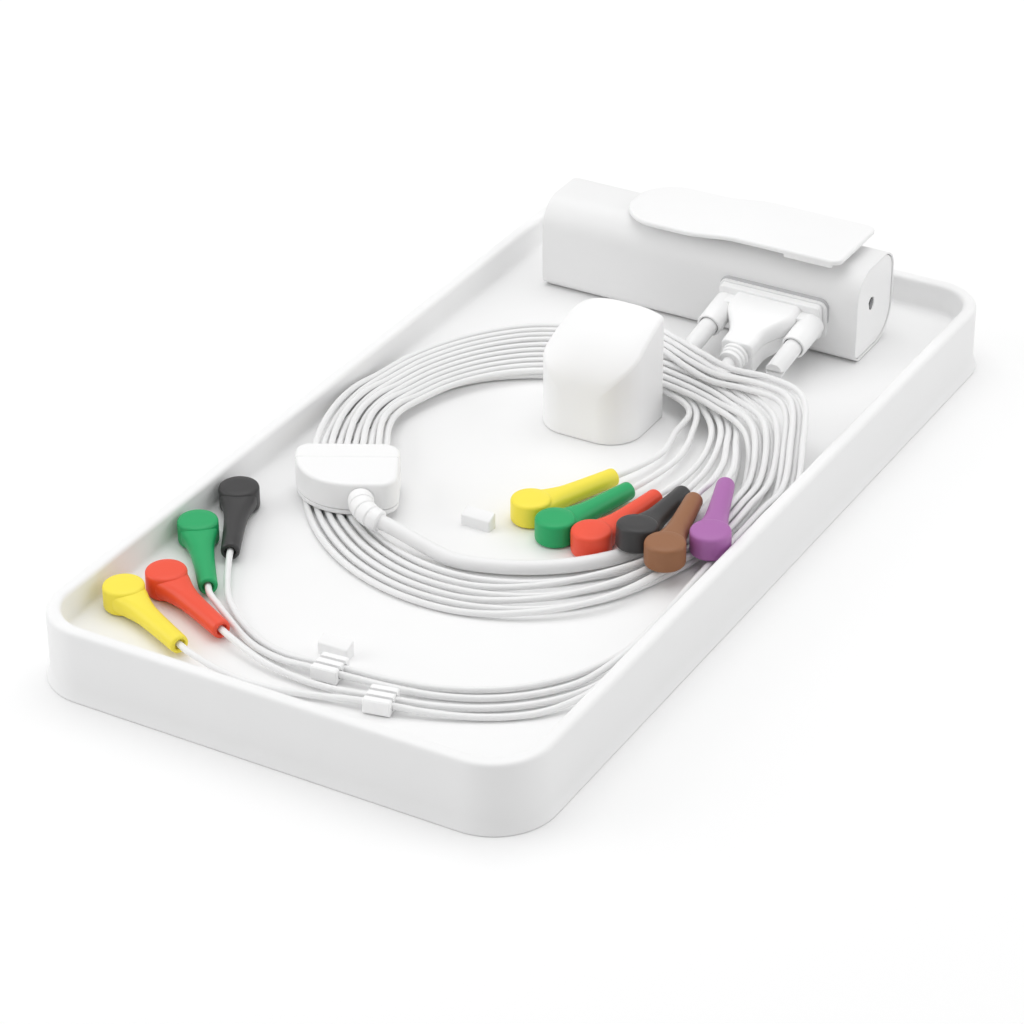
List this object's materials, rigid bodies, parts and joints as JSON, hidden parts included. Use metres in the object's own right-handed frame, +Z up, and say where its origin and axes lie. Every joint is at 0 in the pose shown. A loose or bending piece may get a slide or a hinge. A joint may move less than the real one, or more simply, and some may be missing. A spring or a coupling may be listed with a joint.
{
  "type": "wireless ecg module kit",
  "caption": "Wireless ECG transmitter with power key and belt clip, plugged to a yoked patient cable whose coloured snap leads are coiled in a white tray.",
  "frame": {"origin": "middle of the tray's footprint, on the surface that the tray stands on", "axes": "+Z up; +Y along the tray's length towards the short side where the module lies; +X to the right, towards the module's power key"},
  "size_m": [0.1806, 0.3526, 0.0545],
  "materials": {
    "tray_plastic": "smooth satin white",
    "white_plastic": "satin white",
    "module_plastic": "satin pale grey",
    "window_plastic": "polished dark window",
    "sheet_steel": "plated",
    "board": "green solder mask",
    "cell_case": "satin grey",
    "insulator": "moulded black",
    "cable_jacket": "satin white",
    "snap_yellow": "satin yellow",
    "snap_green": "satin green",
    "snap_red": "satin red",
    "snap_black": "satin black",
    "snap_brown": "satin brown",
    "snap_purple": "satin purple"
  },
  "bodies": {
    "kit": {"tray": "tray_plastic", "cable_post": "white_plastic", "lead_clip_front": "white_plastic", "lead_clip_rear": "white_plastic", "module_shell": "module_plastic", "key_frame": "module_plastic", "key_switch": "insulator", "main_board": "board", "radio_can": "sheet_steel", "cell_left": "cell_case", "cell_right": "cell_case", "socket_bezel": "module_plastic", "socket_shell": "sheet_steel", "socket_insulator": "insulator", "jack_nut_left": "sheet_steel", "jack_nut_right": "sheet_steel", "plug_shell": "sheet_steel", "plug_insulator": "insulator", "plug_hood_top": "white_plastic", "plug_hood_bottom": "white_plastic", "plug_boot": "cable_jacket", "clip_base": "white_plastic", "clip_pin": "sheet_steel", "clip_spring": "sheet_steel", "yoke_base": "white_plastic", "yoke_board": "board", "yoke_lid": "white_plastic", "yoke_boot": "cable_jacket", "trunk_cable": "cable_jacket", "lead_chest_yellow": "cable_jacket", "snap_chest_yellow": "snap_yellow", "lead_chest_green": "cable_jacket", "snap_chest_green": "snap_green", "lead_chest_red": "cable_jacket", "snap_chest_red": "snap_red", "lead_chest_black": "cable_jacket", "snap_chest_black": "snap_black", "lead_chest_brown": "cable_jacket", "snap_chest_brown": "snap_brown", "lead_chest_purple": "cable_jacket", "snap_chest_purple": "snap_purple", "lead_limb_black": "cable_jacket", "snap_limb_black": "snap_black", "lead_limb_green": "cable_jacket", "snap_limb_green": "snap_green", "lead_limb_red": "cable_jacket", "snap_limb_red": "snap_red", "lead_limb_yellow": "cable_jacket", "snap_limb_yellow": "snap_yellow"},
    "power_key": {"power_key": "module_plastic", "status_lens": "window_plastic"},
    "battery_cap": {"battery_cap": "module_plastic", "cell_spring": "sheet_steel"},
    "belt_clip": {"belt_clip": "white_plastic"},
    "thumbscrew_left": {"thumbscrew_left": "module_plastic"},
    "thumbscrew_right": {"thumbscrew_right": "module_plastic"}
  },
  "joints": [
    {"name": "power_key_press", "type": "slide", "parent": "kit", "child": "power_key", "axis": [-1, 0, 0], "range_m": [0, 0.0008], "stiffness_N_per_m": 400, "springref_m": -0.001},
    {"name": "battery_cap_pull", "type": "slide", "parent": "kit", "child": "battery_cap", "axis": [-1, 0, 0], "range_m": [0, 0.01]},
    {"name": "belt_clip_lift", "type": "hinge", "parent": "kit", "child": "belt_clip", "pos_m": [0.0405, 0.1335, 0.0501], "axis": [0, 1, 0], "range_deg": [0, 10], "stiffness_Nm_per_rad": 0.06, "springref_deg": -11.46},
    {"name": "thumbscrew_left_turn", "type": "hinge", "parent": "kit", "child": "thumbscrew_left", "pos_m": [0.01165, 0.1175, 0.0292], "axis": [0, -0.9877, -0.1564], "continuous": true},
    {"name": "thumbscrew_right_turn", "type": "hinge", "parent": "kit", "child": "thumbscrew_right", "pos_m": [0.04495, 0.1175, 0.0292], "axis": [0, -0.9877, -0.1564], "continuous": true}
  ]
}
